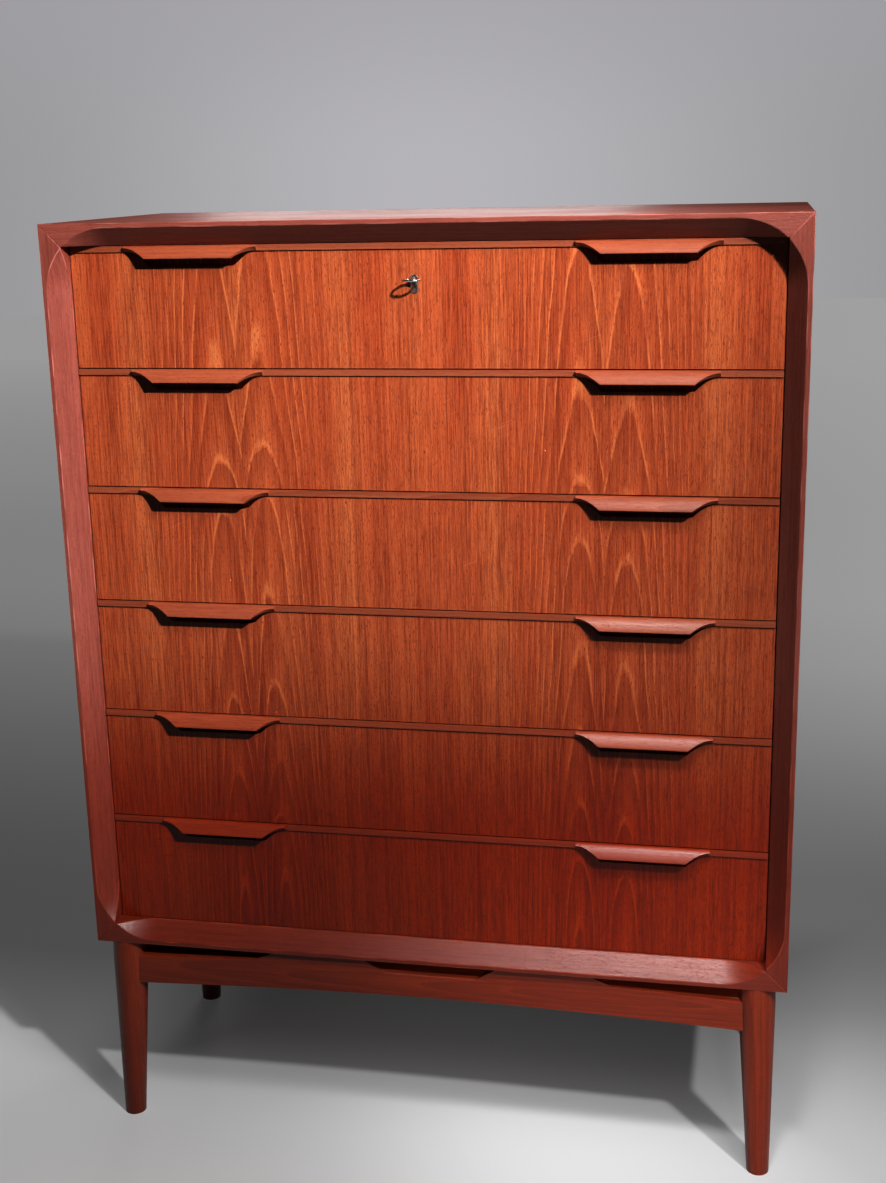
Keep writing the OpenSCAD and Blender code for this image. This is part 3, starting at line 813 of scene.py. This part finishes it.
@dataclass
class Studio:
    """The floor, the lights, the surroundings and the camera."""

    camera_place: Place = (0.4179, -2.1028, 1.3033)
    yaw: float = 0.2015
    pitch: float = -0.2599
    roll: float = 0.0226
    lens: float = 48.55
    gamma: float = 0.8
    floor_radius: float = 14.0
    key_place: Place = (1.71, -2.03, 2.75)
    # Painted light on the floor by distance: bright in front, a painted shadow just behind the chest, then
    # rising into the backdrop far away
    painted_glow_left: Profile = (
        (0.0, 0.22), (0.035, 0.18), (0.07, 0.10), (0.11, 0.12), (0.18, 0.18), (0.27, 0.25), (0.42, 0.31),
        (0.8, 0.40),
    )
    painted_glow_right: Profile = (
        (0.0, 0.26), (0.035, 0.20), (0.07, 0.12), (0.11, 0.15), (0.18, 0.31), (0.22, 0.37), (0.27, 0.40),
        (0.8, 0.43),
    )

    def build(self) -> None:
        """Sets up the studio."""
        self.floor()
        self.surroundings()
        self.spot("key_beam", self.key_place, (-0.25, -0.2, 1.30), 34.0, 0.06, 740.0)
        self.spot("low_beam", self.key_place, (0.52, -0.2, 0.22), 26.0, 0.08, 190.0)
        self.spot("base_fill", (0.75, -2.4, 0.62), (0.30, -0.2, 0.12), 24.0, 0.10, 66.0)
        self.lamp("key_spill", self.key_place, (0.0, -0.2, 0.7), 0.16, 42.0)
        self.lamp("overhead", (0.95, -1.35, 2.7), (0.4, -0.2, 0.3), 0.45, 24.0)
        self.spot("low_sheen", (0.20, -1.28, 2.7), (0.26, -0.2, 0.28), 17.0, 0.17, 190.0)
        self.lamp("rim", (-0.75, 3.4, 2.0), (0.0, 0.0, 1.2), 1.5, 17.0)
        self.camera()
        bpy.context.scene.view_settings.view_transform = "Standard"
        bpy.context.scene.view_settings.gamma = self.gamma

    def floor(self) -> None:
        """A wide pale floor that fades into the surroundings far away."""
        bm = bmesh.new()
        bmesh.ops.create_circle(bm, cap_ends=True, segments=96, radius=self.floor_radius)
        mesh = bpy.data.meshes.new("floor")
        bm.to_mesh(mesh)
        bm.free()
        floor = bpy.data.objects.new("floor", mesh)
        bpy.context.scene.collection.objects.link(floor)
        floor.data.materials.append(self.floor_material())
        floor.visible_diffuse = False

    def floor_material(self) -> Material:
        """Pale and matt, with a painted glow that follows the distance, and painted shade and a painted
        shadow under and behind the chest.

        Returns:
            The floor's material.
        """
        material, g, shader = start_material("studio_floor")
        place = g.own_place()
        across, back, _ = g.split(place)
        cloud = g.noise(place, (0.9, 0.9, 0.9), 2.0)
        tone = g.mix(cloud, (0.56, 0.56, 0.56), (0.62, 0.62, 0.625))
        tone = g.mix(g.ramp(across, -0.5, 0.9), tone, (0.36, 0.36, 0.363))
        tone = g.mix(g.ramp(back, -0.35, -1.1), tone, (0.40, 0.40, 0.402))
        # Painted shade: the floor's colour darkens to a dark grey under and behind the chest
        front = g.ramp(back, 0.55, -0.20)
        g.feed(shader.inputs["Base Color"], g.mix(front, (0.10, 0.10, 0.10), tone))
        shader.inputs["Roughness"].default_value = 0.85
        shader.inputs["Specular IOR Level"].default_value = 0.1

        # The floor glows as painted light and painted shade; it is no lamp
        away = g.math("DIVIDE", g.math("ADD", back, 0.6), 12.0, clamp=True)
        left = g.profile(away, self.painted_glow_left)
        right = g.profile(away, self.painted_glow_right)
        glow = g.mix(g.ramp(across, -1.2, 1.4), left, right)

        # Painted shadow: under the chest the floor's glow is cut to a quarter
        beside = g.math("SUBTRACT", g.math("ABSOLUTE", across), 0.40)
        behind = g.math("SUBTRACT", back, 0.16)
        behind = g.math("SUBTRACT", g.math("ABSOLUTE", behind), 0.16)
        outside_painted_shadow = g.ramp(g.math("MAXIMUM", beside, behind), -0.08, 0.24)
        shade = g.math("ADD", g.math("MULTIPLY", outside_painted_shadow, 0.75), 0.25)
        g.feed(shader.inputs["Emission Color"], g.mix(shade, (0.0, 0.0, 0.0), glow))
        shader.inputs["Emission Strength"].default_value = 1.0
        return material

    def surroundings(self) -> None:
        """A grey world that is bright to the eye but gives little light."""
        world = bpy.data.worlds.new("studio")
        bpy.context.scene.world = world
        world.use_nodes = True
        g = Graph(world.node_tree)
        back = world.node_tree.nodes["Background"]
        across, away, up = g.split(g.add("TexCoord").outputs["Generated"])
        bearing = g.math("ADD", g.math("DIVIDE", across, away), 0.203)
        middle = g.ramp(g.math("ABSOLUTE", bearing), 0.32, 0.0)
        low = g.mix(middle, (0.402, 0.398, 0.408), (0.540, 0.532, 0.555))
        high = g.mix(middle, (0.425, 0.418, 0.442), (0.474, 0.466, 0.494))
        sky = g.mix(g.ramp(up, 0.0, 0.11), low, high)
        path = g.add("LightPath")
        g.feed(back.inputs["Color"], g.mix(path.outputs["Is Camera Ray"], (0.005, 0.0045, 0.0045), sky))
        back.inputs["Strength"].default_value = 1.0

    def spot(
        self, name: str, place: Place, aim: Place, cone: float, radius: float, power: float,
    ) -> Object:
        """Adds a soft-edged beam.

        Args:
            name: the light's name.
            place: where it stands, in metres.
            aim: the point it faces.
            cone: the whole angle of its cone in degrees.
            radius: the radius of its source in metres.
            power: its power in watts.

        Returns:
            The light.
        """
        data = bpy.data.lights.new(name, "SPOT")
        data.spot_size = math.radians(cone)
        data.spot_blend = 1.0
        data.shadow_soft_size = radius
        return self.stand(data, place, aim, power)

    def lamp(self, name: str, place: Place, aim: Place, size: float, power: float) -> Object:
        """Adds a square soft light.

        Args:
            name: the light's name.
            place: where it stands, in metres.
            aim: the point it faces.
            size: its width in metres.
            power: its power in watts.

        Returns:
            The light.
        """
        data = bpy.data.lights.new(name, "AREA")
        data.size = size
        return self.stand(data, place, aim, power)

    def stand(self, data: Light, place: Place, aim: Place, power: float) -> Object:
        """Stands a light in the scene, out of the camera's sight.

        Args:
            data: the light.
            place: where it stands, in metres.
            aim: the point it faces.
            power: its power in watts.

        Returns:
            The light's object.
        """
        data.energy = power
        light = bpy.data.objects.new(data.name, data)
        light.location = place
        light.rotation_mode = "QUATERNION"
        light.rotation_quaternion = (Vector(aim) - Vector(place)).to_track_quat("-Z", "Y")
        light.visible_camera = False
        bpy.context.scene.collection.objects.link(light)
        return light

    def camera(self) -> None:
        """Places the camera."""
        data = bpy.data.cameras.new("camera")
        data.lens = self.lens
        data.sensor_width = 36.0
        camera = bpy.data.objects.new("camera", data)
        turn = (
            Matrix.Rotation(self.yaw, 4, "Z") @ Matrix.Rotation(self.pitch, 4, "X")
            @ Matrix.Rotation(self.roll, 4, "Y") @ Matrix.Rotation(math.radians(90), 4, "X")
        )
        camera.matrix_world = Matrix.Translation(self.camera_place) @ turn
        bpy.context.scene.collection.objects.link(camera)
        bpy.context.scene.camera = camera


def main() -> None:
    """Builds the chest and its studio."""
    logging.basicConfig(level=logging.INFO, format="%(message)s")
    Case().build()
    for number in range(1, DRAWERS + 1):
        Drawer(number).build()
    Lock().build()
    Base().build()
    Studio().build()


if __name__ == "__main__":
    main()
